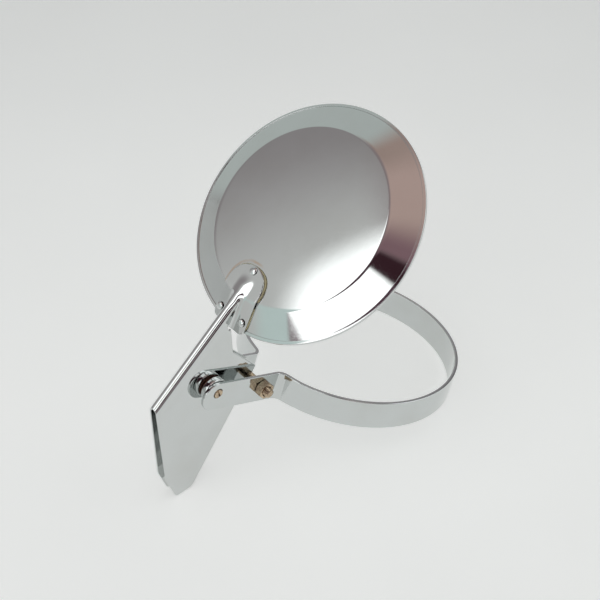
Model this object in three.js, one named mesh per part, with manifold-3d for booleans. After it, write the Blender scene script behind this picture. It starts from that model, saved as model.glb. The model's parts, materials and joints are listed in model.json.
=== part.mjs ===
// Clamp-on towing mirror: a round chrome mirror head on a folded sheet arm, which tilts on a
// pivot screw between the two legs of a steel band clamp. Millimetres and degrees, +Z up.
//
// The head frame has its origin at the centre of the mirror's rim, +Z out of the mirror's back
// and the arm along -X. The band frame has its origin at the centre of the band's ring, +Z along
// the ring's axis and the legs towards -X. Everything is symmetric about the plane Y = 0, apart
// from the fasteners, which are put in from one side.
import * as THREE from "three";
import { mergeVertices } from "three/addons/utils/BufferGeometryUtils.js";
import Module from "manifold-3d";

const wasm = await Module();
wasm.setup();

const GAP = 0.3;

// Mirror head
const RIM_RADIUS = 75;
const BEVEL_RISE = 9;
const DOME_RADIUS = 57;
const CROWN_RISE = 12;
const SHELL = 0.9;
const SHELL_EDGE_RADIUS = 73.9;
const STEP_BLEND = 1.2;
const BEZEL = 0.7;
const BEZEL_LIP = 0.8;
const BEZEL_FRONT = -1.7;
const BEZEL_INNER_RADIUS = 64.8;
const GLASS_RADIUS = 66.2;
const GLASS = 2;
const GLASS_BACK = 1.4;
const GLASS_BULGE = 1.2;
const PAD = 0.8;
const PAD_INSET = 2;
const SEAL_OUTSIDE_GLASS = 0.9;
const SEAL_OVER_GLASS = 1.2;

// Arm: one sheet folded over a ridge, with a tab on the mirror's back
const SHEET = 1.2;
const RIDGE_HEIGHT = 8.7;
const RIDGE_SLOPE = 0.0457;
const RIDGE_RADIUS = 3.6;
const FLANK_OPENING = 1.4;
const RIDGE_OUTER_X = -142;
const RIDGE_FADE_X = -52;
const RIDGE_NOSE_X = -44.5;
const TAB_OUTER_X = -76.5;
const TAB_INNER_X = -38.5;
const TAB_HALF_WIDTH = 13.5;
const TAB_CORNER = 4;
const TAB_FILLET = 3;
const TAB_PAST_RIM = 3;
const GASKET = 0.5;
const GASKET_INSET = 0.6;
const LOW_CORNER = new THREE.Vector2(-184, -61.5);
const LOW_CORNER_TO_LOWEST_POINT = new THREE.Vector2(2.1, -2.4);

// The corners of the arm's flanks seen from the side: x, z and corner radius
const ARM_CORNERS = [
  [TAB_OUTER_X + 0.4, 14, 0],
  [RIDGE_OUTER_X + 3, 14, 0],
  [RIDGE_OUTER_X, 8, 2],
  [-177.5, -42.5, 12],
  [LOW_CORNER.x, LOW_CORNER.y, 3],
  [-173.5, -68, 5],
  [-87.8, -42.3, 1],
  [-87.9, -15.3, 1],
  [TAB_OUTER_X + 0.4, 0.5, 1],
];

// Band clamp
const BAND_CENTRE = new THREE.Vector3(-47.9, 0, -121.6);
const BAND_TURN = 53.1;
const BAND_RADIUS = 71.8;
const BAND_WIDTH = 19;
const BAND = 2.25;
const LEG_OUTSIDE = 12;
const BEND_RADIUS = 5;
const LEG_RISE = 9;
const RISE_CENTRE_X = -72;
const RISE_LENGTH = 10;
const LEG_REACH = 61;
const PIVOT_REACH = 50.5;
const PIVOT_LIFT = 2.4;
const BOLT_REACH = 14;
const BOLT_LIFT = 1.5;

// Fasteners
const PIVOT_SCREW_RADIUS = 2.4;
const PIVOT_HEAD_RADIUS = 2.9;
const PIVOT_SCREW_PAST_NUT = 1.4;
const SCREW_SLOT = 0.9;
const SCREW_SLOT_DEPTH = 0.8;
const SCREW_SLOT_TURN = 40;
const PIVOT_SPACER_RADIUS = 8.4;
const FRICTION_WASHER = 0.5;
const SLEEVE_RADIUS = 4.5;
const SLEEVE_SLACK = 0.15;
const PIVOT_WASHER_RADIUS = 5;
const PIVOT_NUT = 3.6;
const PIVOT_NUT_FLATS = 8;
const BOLT_RADIUS = 3;
const BOLT_END = 20.4;
const BOLT_HEAD = 4;
const BOLT_FLATS = 10;
const CLAMP_NUT = 5;
const CLAMP_WASHER_RADIUS = 6;
const FLAT_WASHER = 1;
const LOCK_WASHER = 1.3;
const LOCK_WASHER_RADIUS = 5;
const LOCK_WASHER_SLOT = 1;
const END_CHAMFER = 0.5;
const RIVET_RADIUS = 1.5;
const RIVET_HEAD_RADIUS = 2.5;

// Facets round a full turn
const RIVET_ROUND = 16;
const SMALL_ROUND = 24;
const COARSE = 32;
const ROUND = 72;
const GASKET_ROUND = 120;

// Half the length of a cutting tool, more than any piece's half width
const TOOL_REACH = 20;

const rad = THREE.MathUtils.degToRad;
const LEG_INSIDE = LEG_OUTSIDE - BAND;
const BORE = PIVOT_SCREW_RADIUS + GAP;

// ---------------------------------------------------------------------------- materials

const chrome = (name) => finish(name, 0xc8cfd2, 0.07, 1);
const zinc = (name) => finish(name, 0xb79b63, 0.3, 1);

function finish(name, color, roughness, metalness) {
  return new THREE.MeshStandardMaterial({ name, color, roughness, metalness });
}

function part(name, geometry, material, parent) {
  const mesh = new THREE.Mesh(geometry, material);
  mesh.name = name;
  parent.add(mesh);
  return mesh;
}

// ---------------------------------------------------------------------------- solids

function toSolid(geometry) {
  const bare = geometry.clone();
  bare.deleteAttribute("normal");
  bare.deleteAttribute("uv");
  const merged = mergeVertices(bare, 1e-4);
  const vertProperties = new Float32Array(merged.attributes.position.array);
  const triVerts = new Uint32Array(merged.index.array);
  return new wasm.Manifold(new wasm.Mesh({ numProp: 3, vertProperties, triVerts }));
}

function toGeometry(solid) {
  const mesh = solid.getMesh();
  const geometry = new THREE.BufferGeometry();
  geometry.setAttribute("position", new THREE.BufferAttribute(mesh.vertProperties, 3));
  geometry.setIndex(new THREE.BufferAttribute(mesh.triVerts, 1));
  geometry.computeVertexNormals();
  return geometry;
}

function cut(geometry, ...tools) {
  return toGeometry(tools.reduce((solid, tool) => solid.subtract(toSolid(tool)), toSolid(geometry)));
}

// A rod of the given radius along Y, centred on (x, z).
function rodY(radius, low, high, x, z, segments = COARSE) {
  const rod = new THREE.CylinderGeometry(radius, radius, high - low, segments);
  return rod.translate(x, (low + high) / 2, z);
}

// A turned piece: points are [radius, height] and close on themselves, height along Z.
function turned(points, segments = ROUND) {
  const profile = points.map(([r, h]) => new THREE.Vector2(r, h));
  const geometry = new THREE.LatheGeometry(profile, segments);
  return geometry.rotateX(Math.PI / 2);
}

// A ring with square edges and its axis along Y.
function ringY(outer, inner, low, high, segments = COARSE) {
  const points = [[inner, low], [outer, low], [outer, high], [inner, high], [inner, low]];
  const profile = points.map(([r, h]) => new THREE.Vector2(r, h));
  return new THREE.LatheGeometry(profile, segments);
}

// A flat outline drawn in X and Z, given a thickness along Y.
function slabY(shape, low, high, curveSegments = 12) {
  const options = { depth: high - low, bevelEnabled: false, curveSegments };
  const geometry = new THREE.ExtrudeGeometry(shape, options);
  return geometry.rotateX(Math.PI / 2).translate(0, high, 0);
}

// An outline through corner points [x, z, radius], each corner rounded.
function roundedOutline(corners) {
  const points = corners.map(([x, z]) => new THREE.Vector2(x, z));
  const shape = new THREE.Shape();
  corners.forEach(([, , radius], i) => {
    const corner = points[i];
    const before = points[(i + points.length - 1) % points.length].clone().sub(corner).normalize();
    const after = points[(i + 1) % points.length].clone().sub(corner).normalize();
    const half = Math.acos(THREE.MathUtils.clamp(before.dot(after), -1, 1)) / 2;
    const run = radius / Math.tan(half);
    const start = corner.clone().addScaledVector(before, run);
    const end = corner.clone().addScaledVector(after, run);
    if (i === 0) shape.moveTo(start.x, start.y);
    else shape.lineTo(start.x, start.y);
    if (radius > 0) shape.quadraticCurveTo(corner.x, corner.y, end.x, end.y);
  });
  shape.closePath();
  return shape;
}

// ---------------------------------------------------------------------------- mirror head

// Height of the mirror's back above the rim: a straight bevel, then a low dome, with the step
// between them rounded.
function dishHeight(radius) {
  const bevel = (BEVEL_RISE * (RIM_RADIUS - radius)) / (RIM_RADIUS - DOME_RADIUS);
  const dome = BEVEL_RISE + (CROWN_RISE - BEVEL_RISE) * (1 - (radius / DOME_RADIUS) ** 2);
  const blend = Math.max(STEP_BLEND - Math.abs(bevel - dome), 0) / STEP_BLEND;
  return Math.min(bevel, dome) - (blend * blend * STEP_BLEND) / 4;
}

// Points [radius, height] on the back, from the axis to a last radius, moved in by an offset.
function dishProfile(lastRadius, offset) {
  const radii = [0, 15, 30, 42, 50, 54, 57, 60, 64, lastRadius];
  return radii.map((radius) => {
    const rise = dishHeight(radius + 0.01) - dishHeight(Math.max(radius - 0.01, 0));
    const slope = radius === 0 ? 0 : rise / 0.02;
    const length = Math.hypot(1, slope);
    return [radius + (slope * offset) / length, dishHeight(radius) - offset / length];
  });
}

function backShell() {
  const outside = dishProfile(SHELL_EDGE_RADIUS, 0);
  const inside = dishProfile(SHELL_EDGE_RADIUS, SHELL);
  inside[0][0] = 0;
  const shell = turned([...inside, ...outside.reverse()]);
  return cut(shell, ...RIVET_SPOTS.map((spot) => onBack(rivetHole(), spot)));
}

// The rolled bezel: a thin back lip over the shell's edge, and a wide front lip over the glass.
function bezelRing() {
  const edge = dishHeight(SHELL_EDGE_RADIUS);
  const lip = dishHeight(SHELL_EDGE_RADIUS - BEZEL_LIP);
  const front = BEZEL_FRONT;
  return turned([
    [BEZEL_INNER_RADIUS, front],
    [RIM_RADIUS - END_CHAMFER, front],
    [RIM_RADIUS, front + END_CHAMFER],
    [RIM_RADIUS, edge + 0.1],
    [SHELL_EDGE_RADIUS - BEZEL_LIP + 0.2, lip + GAP + 0.3],
    [SHELL_EDGE_RADIUS - BEZEL_LIP, lip + GAP],
    [RIM_RADIUS - BEZEL, edge + 0.1],
    [RIM_RADIUS - BEZEL, front + BEZEL],
    [BEZEL_INNER_RADIUS, front + BEZEL],
    [BEZEL_INNER_RADIUS, front],
  ]);
}

// Gently convex glass: both faces bulge forward, away from the shell.
function convexDisc(radius, back, thickness, bulge) {
  const steps = [0, 0.25, 0.5, 0.75, 1];
  const face = (height) => steps.map((s) => [s * radius, height - bulge * (1 - s * s)]);
  return turned([...face(back - thickness), ...face(back).reverse()]);
}

// A rubber channel around the glass, open inwards.
function glassSeal() {
  const front = BEZEL_FRONT + BEZEL + GAP / 2;
  const glassFront = GLASS_BACK - GLASS;
  const outer = GLASS_RADIUS + SEAL_OUTSIDE_GLASS;
  const inner = GLASS_RADIUS - SEAL_OVER_GLASS;
  return turned([
    [inner, front],
    [outer, front],
    [outer, GLASS_BACK - 0.4],
    [GLASS_RADIUS + GAP, GLASS_BACK - 0.4],
    [GLASS_RADIUS + GAP, glassFront - 0.1],
    [inner, glassFront - 0.2],
    [inner, front],
  ]);
}

// ---------------------------------------------------------------------------- arm plate

// Height of the arm's straight ridge, which climbs a little from its outer end.
function ridgeLine(x) {
  return RIDGE_HEIGHT + RIDGE_SLOPE * (x - RIDGE_OUTER_X);
}

// Height of the ridge's top over the tab: it stays straight, then ends in the tab's surface.
function ridgeTop(x) {
  const fade = THREE.MathUtils.smoothstep(x, RIDGE_FADE_X, RIDGE_NOSE_X);
  return THREE.MathUtils.lerp(ridgeLine(x), tabHeight(x, 0), fade);
}

// Height of the tab's outer face: the mirror's back, the gasket and the sheet.
function tabHeight(x, y) {
  const back = dishHeight(Math.min(Math.hypot(x, y), RIM_RADIUS + TAB_PAST_RIM));
  return back + GAP + GASKET + GAP + SHEET;
}

// Half of the sheet's outer face at one station, from the ridge out to the tab's edge: points
// [y, z]. A rounded ridge, a steep flank, a fillet and the tab. Without a flank, the fillet's
// first point is moved on a little, so that it doesn't fall on the ridge's last.
function halfSection(x, steps) {
  const top = ridgeTop(x);
  const foot = RIDGE_RADIUS + TAB_FILLET;
  const tab = tabHeight(x, foot);
  const rise = Math.max(top - tab, 0);
  const flank = Math.max(rise - foot, 0);
  const squash = Math.min(rise / foot, 1);
  const points = [];
  for (let i = 0; i <= steps; i++) {
    const a = (Math.PI / 2) * (i / steps);
    points.push([RIDGE_RADIUS * Math.sin(a), top - squash * RIDGE_RADIUS * (1 - Math.cos(a))]);
  }
  const [edgeY, edgeZ] = points[steps];
  for (let i = 0; i <= steps; i++) {
    const share = i === 0 && flank < 0.2 ? 0.4 / steps : i / steps;
    const a = (Math.PI / 2) * share;
    const y = edgeY + TAB_FILLET * (1 - Math.cos(a));
    const z = edgeZ - flank - squash * TAB_FILLET * Math.sin(a);
    points.push([y, z]);
  }
  const outer = TAB_HALF_WIDTH + 1;
  for (let i = 1; i <= steps; i++) {
    const y = foot + ((outer - foot) * i) / steps;
    points.push([y, tabHeight(x, y)]);
  }
  return points;
}

// Points [y, z] from the ridge outwards, after their mirror images on the other side.
function bothSides(points) {
  const mirrored = points.slice(1).map(([y, z]) => [-y, z]);
  return [...mirrored.reverse(), ...points];
}

// A closed sheet lofted through stations along X, its thickness measured square to each section.
function loftedSheet(stations, steps) {
  const loops = stations.map((x) => {
    const outer = bothSides(halfSection(x, steps));
    const inner = outer.map(([y, z], i) => {
      const [ay, az] = outer[Math.max(i - 1, 0)];
      const [by, bz] = outer[Math.min(i + 1, outer.length - 1)];
      const length = Math.hypot(by - ay, bz - az);
      return [y + (SHEET * (bz - az)) / length, z - (SHEET * (by - ay)) / length];
    });
    return [...outer, ...inner.reverse()].map(([y, z]) => [x, y, z]);
  });
  const size = loops[0].length;
  const index = [];
  for (let s = 0; s + 1 < loops.length; s++) {
    for (let i = 0; i < size; i++) {
      const a = s * size + i;
      const b = s * size + ((i + 1) % size);
      index.push(a, a + size, b, b, a + size, b + size);
    }
  }
  const last = (loops.length - 1) * size;
  for (let i = 0; i + 1 < size / 2; i++) {
    const j = size - 1 - i;
    index.push(i, i + 1, j, j, i + 1, j - 1);
    index.push(last + i, last + j, last + i + 1, last + j, last + j - 1, last + i + 1);
  }
  const geometry = new THREE.BufferGeometry();
  geometry.setAttribute("position", new THREE.Float32BufferAttribute(loops.flat(2), 3));
  geometry.setIndex(index);
  return geometry;
}

// The folded sheet's constant section, from the ridge down both flanks, run along the ridge.
function foldedSheet(low, high) {
  const depth = 90;
  const bendSteps = 6;
  const lean = Math.tan(rad(FLANK_OPENING));
  const flankTop = RIDGE_HEIGHT - RIDGE_RADIUS;
  const face = (offset) => {
    const radius = RIDGE_RADIUS - offset;
    const points = [];
    for (let i = 0; i <= bendSteps; i++) {
      const a = (Math.PI / 2) * (i / bendSteps);
      points.push([radius * Math.sin(a), flankTop + radius * Math.cos(a)]);
    }
    points.push([radius + depth * lean, flankTop - depth]);
    return bothSides(points);
  };
  const loop = [...face(0), ...face(SHEET).reverse()];
  const outline = new THREE.Shape(loop.map(([y, z]) => new THREE.Vector2(y, z)));
  const options = { depth: high - low, bevelEnabled: false };
  const geometry = new THREE.ExtrudeGeometry(outline, options);
  const toArm = new THREE.Matrix4().makeBasis(
    new THREE.Vector3(0, 1, 0),
    new THREE.Vector3(0, 0, 1),
    new THREE.Vector3(1, 0, RIDGE_SLOPE),
  );
  return geometry.applyMatrix4(toArm).translate(low, 0, ridgeLine(low) - RIDGE_HEIGHT);
}

// The tab's outline in plan: a round inner end and two small outer corners.
function tabOutline(grow) {
  const low = TAB_OUTER_X - grow;
  const high = TAB_INNER_X + grow;
  const wide = TAB_HALF_WIDTH + grow;
  const cornerX = low + TAB_CORNER;
  const cornerY = wide - TAB_CORNER;
  const shape = new THREE.Shape();
  shape.moveTo(cornerX, -wide);
  shape.lineTo(high - wide, -wide);
  shape.absarc(high - wide, 0, wide, -Math.PI / 2, Math.PI / 2, false);
  shape.lineTo(cornerX, wide);
  shape.absarc(cornerX, cornerY, TAB_CORNER, Math.PI / 2, Math.PI, false);
  shape.lineTo(low, -cornerY);
  shape.absarc(cornerX, -cornerY, TAB_CORNER, Math.PI, 1.5 * Math.PI, false);
  return shape;
}

function tabPrism(grow) {
  const options = { depth: 3 * TOOL_REACH, bevelEnabled: false, curveSegments: 10 };
  return new THREE.ExtrudeGeometry(tabOutline(grow), options).translate(0, 0, -TOOL_REACH);
}

function armPlate(pivot) {
  const outline = toSolid(slabY(roundedOutline(ARM_CORNERS), -TOOL_REACH, TOOL_REACH));
  const folded = toSolid(foldedSheet(-190, TAB_OUTER_X + 0.4)).intersect(outline);
  const between = [-74, -71, -68, -64, -60, -57, -54, -50, -46, -42];
  const stations = [TAB_OUTER_X - 0.1, ...between, TAB_INNER_X + 0.5];
  const tab = toSolid(loftedSheet(stations, 4)).intersect(toSolid(tabPrism(0)));
  const plate = toGeometry(folded.add(tab));
  const pivotHole = rodY(BORE, -TOOL_REACH, TOOL_REACH, pivot.x, pivot.z);
  return cut(plate, pivotHole, ...RIVET_SPOTS.map((spot) => onBack(rivetHole(), spot)));
}

// A thin gasket under the tab, following the mirror's back.
function tabGasket() {
  const layer = (offset) => {
    const profile = dishProfile(SHELL_EDGE_RADIUS - 1.5, offset);
    profile[0][0] = 0;
    return profile;
  };
  const disc = turned([...layer(-GAP), ...layer(-GAP - GASKET).reverse()], GASKET_ROUND);
  const outline = toSolid(tabPrism(-GASKET_INSET));
  const gasket = toGeometry(toSolid(disc).intersect(outline));
  return cut(gasket, ...RIVET_SPOTS.map((spot) => onBack(rivetHole(), spot)));
}

// ---------------------------------------------------------------------------- rivets

const RIVET_SPOTS = [
  { name: "rivet_inner", x: -41.5, y: 0 },
  { name: "rivet_front", x: -69, y: -9.6 },
  { name: "rivet_rear", x: -69, y: 9.6 },
];

// Moves a piece made on the Z axis so that its origin lies on the mirror's back and its axis is
// square to it.
function onBack(geometry, { x, y }) {
  const radius = Math.hypot(x, y);
  const slope = dishHeight(radius + 0.5) - dishHeight(radius - 0.5);
  const normal = new THREE.Vector3((-slope * x) / radius, (-slope * y) / radius, 1).normalize();
  const turn = new THREE.Quaternion().setFromUnitVectors(new THREE.Vector3(0, 0, 1), normal);
  return geometry.clone().applyQuaternion(turn).translate(x, y, dishHeight(radius));
}

function rivetHole() {
  const radius = RIVET_RADIUS + GAP;
  return new THREE.CylinderGeometry(radius, radius, 14, RIVET_ROUND).rotateX(Math.PI / 2);
}

// A round head outside the tab, a shank, and a low formed tail inside the shell.
function rivet() {
  const head = GAP + GASKET + GAP + SHEET + GAP;
  const tail = -SHELL - GAP;
  return turned([
    [0, tail - 0.6],
    [RIVET_HEAD_RADIUS - 0.5, tail - 0.6],
    [RIVET_HEAD_RADIUS - 0.3, tail],
    [RIVET_RADIUS, tail],
    [RIVET_RADIUS, head],
    [RIVET_HEAD_RADIUS, head],
    [RIVET_HEAD_RADIUS * 0.85, head + 0.6],
    [RIVET_HEAD_RADIUS * 0.45, head + 1],
    [0, head + 1.1],
  ], RIVET_ROUND);
}

// ---------------------------------------------------------------------------- band clamp

// One face of the strap in plan, an offset inside its outer face: along the rear leg from its
// end, through the bend, round the ring, and back along the front leg.
function strapFace(offset) {
  const bendSteps = 6;
  const ringSteps = 36;
  const bendY = LEG_OUTSIDE + BEND_RADIUS;
  const bendX = -Math.sqrt((BAND_RADIUS + BEND_RADIUS) ** 2 - bendY ** 2);
  const meet = Math.atan2(bendY, -bendX);
  const bend = BEND_RADIUS + offset;
  const ring = BAND_RADIUS - offset;
  const legEnd = RISE_CENTRE_X - LEG_REACH - 6;
  const rear = [new THREE.Vector2(legEnd, LEG_OUTSIDE - offset)];
  for (let i = 0; i <= bendSteps; i++) {
    const a = -Math.PI / 2 + ((Math.PI / 2 - meet) * i) / bendSteps;
    rear.push(new THREE.Vector2(bendX + bend * Math.cos(a), bendY + bend * Math.sin(a)));
  }
  for (let i = 1; i <= ringSteps; i++) {
    const a = Math.PI - meet - ((Math.PI - meet) * i) / ringSteps;
    rear.push(new THREE.Vector2(ring * Math.cos(a), ring * Math.sin(a)));
  }
  const front = rear.slice(0, -1).map((spot) => new THREE.Vector2(spot.x, -spot.y));
  return [...rear, ...front.reverse()];
}

function strapOutline() {
  return new THREE.Shape([...strapFace(0), ...strapFace(BAND).reverse()]);
}

// The side outline of both legs, with round ends.
function legOutline() {
  const radius = BAND_WIDTH / 2;
  const past = BAND_RADIUS + TOOL_REACH;
  const shape = new THREE.Shape();
  const end = RISE_CENTRE_X - LEG_REACH + radius;
  shape.moveTo(past, -radius);
  shape.lineTo(past, radius);
  shape.lineTo(end, radius);
  shape.absarc(end, 0, radius, Math.PI / 2, 1.5 * Math.PI, false);
  return shape;
}

// Turns the legs up about the ring's mid plane: nothing moves on the ring side of the rise, and
// beyond it every point turns by the full angle.
function riseLegs(geometry) {
  const full = rad(LEG_RISE);
  const first = RISE_CENTRE_X + RISE_LENGTH / 2;
  const spots = geometry.attributes.position;
  for (let i = 0; i < spots.count; i++) {
    const run = first - spots.getX(i);
    if (run <= 0) continue;
    const height = spots.getZ(i);
    const bent = Math.min(run, RISE_LENGTH);
    const angle = (full * bent) / RISE_LENGTH;
    const curve = RISE_LENGTH / full;
    const rest = run - bent;
    const x = first - curve * Math.sin(angle) - rest * Math.cos(angle) + height * Math.sin(angle);
    const z = curve * (1 - Math.cos(angle)) + rest * Math.sin(angle) + height * Math.cos(angle);
    spots.setXYZ(i, x, spots.getY(i), z);
  }
  geometry.computeVertexNormals();
  return geometry;
}

function clampBand() {
  const depth = BAND_WIDTH;
  const strap = new THREE.ExtrudeGeometry(strapOutline(), { depth, bevelEnabled: false });
  strap.translate(0, 0, -depth / 2);
  const past = BAND_RADIUS + TOOL_REACH;
  const outline = toSolid(slabY(legOutline(), -past, past, 10));
  const trimmed = toGeometry(toSolid(strap).intersect(outline));
  const pivotX = RISE_CENTRE_X - PIVOT_REACH;
  const boltX = RISE_CENTRE_X - BOLT_REACH;
  const drilled = cut(
    trimmed,
    rodY(PIVOT_HEAD_RADIUS + GAP, -TOOL_REACH, 0, pivotX, PIVOT_LIFT, SMALL_ROUND),
    rodY(BORE, 0, TOOL_REACH, pivotX, PIVOT_LIFT, SMALL_ROUND),
    rodY(BOLT_RADIUS + GAP, -TOOL_REACH, TOOL_REACH, boltX, BOLT_LIFT, SMALL_ROUND),
  );
  return riseLegs(drilled);
}

// ---------------------------------------------------------------------------- fasteners

function hexOutline(acrossFlats) {
  const radius = acrossFlats / Math.sqrt(3);
  const corners = [0, 1, 2, 3, 4, 5].map((i) => {
    const turn = rad(60 * i + 30);
    return new THREE.Vector2(radius * Math.cos(turn), radius * Math.sin(turn));
  });
  return new THREE.Shape(corners);
}

function hexY(acrossFlats, low, high) {
  return slabY(hexOutline(acrossFlats), low, high);
}

function hexNut(acrossFlats, bore, low, high) {
  const hole = rodY(bore, low - 1, high + 1, 0, 0, SMALL_ROUND);
  return cut(hexY(acrossFlats, low, high), hole);
}

// A split spring washer: a ring with a narrow slot.
function lockWasher(outer, inner, low, high) {
  const slot = new THREE.BoxGeometry(outer * 2, (high - low) * 3, LOCK_WASHER_SLOT);
  slot.translate(outer, (low + high) / 2, 0);
  return cut(ringY(outer, inner, low, high, SMALL_ROUND), slot);
}

// A slotted flush screw, its head in the front leg and its shank through to the rear nut.
function pivotScrew(end) {
  const face = -LEG_OUTSIDE - 0.5;
  const under = -LEG_INSIDE - 0.2;
  const profile = [
    [0, face],
    [PIVOT_HEAD_RADIUS - 0.3, face],
    [PIVOT_HEAD_RADIUS, face + 0.3],
    [PIVOT_HEAD_RADIUS, under],
    [PIVOT_SCREW_RADIUS, under],
    [PIVOT_SCREW_RADIUS, end - END_CHAMFER],
    [PIVOT_SCREW_RADIUS - END_CHAMFER, end],
    [0, end],
  ].map(([r, h]) => new THREE.Vector2(r, h));
  const length = 3 * PIVOT_HEAD_RADIUS;
  const slot = new THREE.BoxGeometry(SCREW_SLOT, 2 * SCREW_SLOT_DEPTH, length);
  slot.rotateY(rad(SCREW_SLOT_TURN)).translate(0, face, 0);
  return cut(new THREE.LatheGeometry(profile, SMALL_ROUND), slot);
}

// A hex bolt with its head behind the rear leg and its end standing out of the front nut.
function clampBolt(headLow, headHigh) {
  const head = toSolid(hexY(BOLT_FLATS, headLow, headHigh));
  const profile = [
    [0, -BOLT_END],
    [BOLT_RADIUS - END_CHAMFER, -BOLT_END],
    [BOLT_RADIUS, -BOLT_END + END_CHAMFER],
    [BOLT_RADIUS, headLow + 1],
    [0, headLow + 1],
  ].map(([r, h]) => new THREE.Vector2(r, h));
  const shank = toSolid(new THREE.LatheGeometry(profile, SMALL_ROUND));
  return toGeometry(head.add(shank));
}

// ---------------------------------------------------------------------------- assembly

const stand = new THREE.Group();
const head = new THREE.Group();
const band = new THREE.Group();
band.position.copy(BAND_CENTRE);
band.rotation.y = rad(BAND_TURN);
const legs = new THREE.Group();
legs.position.set(RISE_CENTRE_X, 0, 0);
legs.rotation.y = rad(LEG_RISE);
const pivotAxis = new THREE.Group();
pivotAxis.position.set(-PIVOT_REACH, 0, PIVOT_LIFT);
const boltAxis = new THREE.Group();
boltAxis.position.set(-BOLT_REACH, 0, BOLT_LIFT);
legs.add(pivotAxis, boltAxis);
band.add(legs);
stand.add(head, band);
stand.updateMatrixWorld(true);
const pivot = pivotAxis.getWorldPosition(new THREE.Vector3());

part("back_shell", backShell(), chrome("back_shell"), head);
part("bezel_ring", bezelRing(), chrome("bezel_ring"), head);
part("mirror_glass", convexDisc(GLASS_RADIUS, GLASS_BACK, GLASS, GLASS_BULGE),
  finish("mirror_glass", 0xdfe6ea, 0.02, 1), head);
part("glass_seal", glassSeal(), finish("glass_seal", 0x1b1b1d, 0.8, 0), head);
part("backing_pad", convexDisc(GLASS_RADIUS - PAD_INSET, GLASS_BACK + GAP + PAD, PAD, GLASS_BULGE),
  finish("backing_pad", 0x6a6258, 0.95, 0), head);
part("arm_plate", armPlate(pivot), chrome("arm_plate"), head);
part("tab_gasket", tabGasket(), finish("tab_gasket", 0xb9a36a, 0.8, 0), head);
for (const spot of RIVET_SPOTS) {
  part(spot.name, onBack(rivet(), spot), chrome(spot.name), head);
}

const flankDepth = ridgeLine(pivot.x) - RIDGE_RADIUS - pivot.z;
const flankOutside = RIDGE_RADIUS + flankDepth * Math.tan(rad(FLANK_OPENING));
const sleeveHalf = flankOutside - SHEET - GAP - SLEEVE_SLACK;
const sleeve = part("pivot_sleeve", ringY(SLEEVE_RADIUS, BORE, -sleeveHalf, sleeveHalf),
  zinc("pivot_sleeve"), head);
sleeve.position.copy(pivot);

part("clamp_band", clampBand(), chrome("clamp_band"), band);
for (const [side, sign] of [["front", -1], ["rear", 1]]) {
  const washerLow = flankOutside + GAP + 0.2;
  const spacerLow = washerLow + FRICTION_WASHER + GAP;
  const washer = ringY(PIVOT_SPACER_RADIUS - 1, BORE, washerLow, washerLow + FRICTION_WASHER);
  const spacer = ringY(PIVOT_SPACER_RADIUS, BORE, spacerLow, LEG_INSIDE - GAP);
  const place = sign < 0 ? Math.PI : 0;
  const fibre = finish("fibre", 0x4a2f26, 0.8, 0);
  part(`friction_washer_${side}`, washer.rotateZ(place), fibre, pivotAxis);
  part(`pivot_spacer_${side}`, spacer.rotateZ(place), chrome("pivot_spacer"), pivotAxis);
}

const rearWasher = LEG_OUTSIDE + GAP;
const rearWasherTop = rearWasher + FLAT_WASHER;
const pivotNut = rearWasherTop + GAP;
const pivotNutTop = pivotNut + PIVOT_NUT;
part("pivot_washer", ringY(PIVOT_WASHER_RADIUS, BORE, rearWasher, rearWasherTop),
  zinc("pivot_washer"), pivotAxis);
part("pivot_nut", hexNut(PIVOT_NUT_FLATS, BORE, pivotNut, pivotNutTop),
  zinc("pivot_nut"), pivotAxis);
part("pivot_screw", pivotScrew(pivotNutTop + PIVOT_SCREW_PAST_NUT),
  zinc("pivot_screw"), pivotAxis);

const boltBore = BOLT_RADIUS + GAP;
const lockWasherLow = rearWasherTop + GAP;
const lockWasherTop = lockWasherLow + LOCK_WASHER;
const boltHead = lockWasherTop + GAP;
const clampNutTop = -LEG_OUTSIDE - GAP;
part("clamp_washer", ringY(CLAMP_WASHER_RADIUS, boltBore, rearWasher, rearWasherTop),
  zinc("clamp_washer"), boltAxis);
part("clamp_lock_washer", lockWasher(LOCK_WASHER_RADIUS, boltBore, lockWasherLow, lockWasherTop),
  zinc("clamp_lock_washer"), boltAxis);
part("clamp_bolt", clampBolt(boltHead, boltHead + BOLT_HEAD), zinc("clamp_bolt"), boltAxis);
part("clamp_nut", hexNut(BOLT_FLATS, boltBore, clampNutTop - CLAMP_NUT, clampNutTop),
  zinc("clamp_nut"), boltAxis);

// The mirror stands on the arm's low corner and on the far lower edge of the band.
const farEdge = new THREE.Vector3(BAND_RADIUS, 0, -BAND_WIDTH / 2).applyMatrix4(band.matrixWorld);
const lowest = LOW_CORNER.clone().add(LOW_CORNER_TO_LOWEST_POINT);
stand.rotation.y = -Math.atan2(lowest.y - farEdge.z, farEdge.x - lowest.x);

const towingMirror = new THREE.Group();
towingMirror.add(stand);
towingMirror.updateMatrixWorld(true);
const box = new THREE.Box3().setFromObject(towingMirror, true);
const middle = box.getCenter(new THREE.Vector3());
stand.position.set(-middle.x, -middle.y, -box.min.z);
towingMirror.updateMatrixWorld(true);

export default towingMirror;
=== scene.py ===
import json
import math
import bmesh
import bpy
import numpy as np
from mathutils import Matrix, Vector


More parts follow.
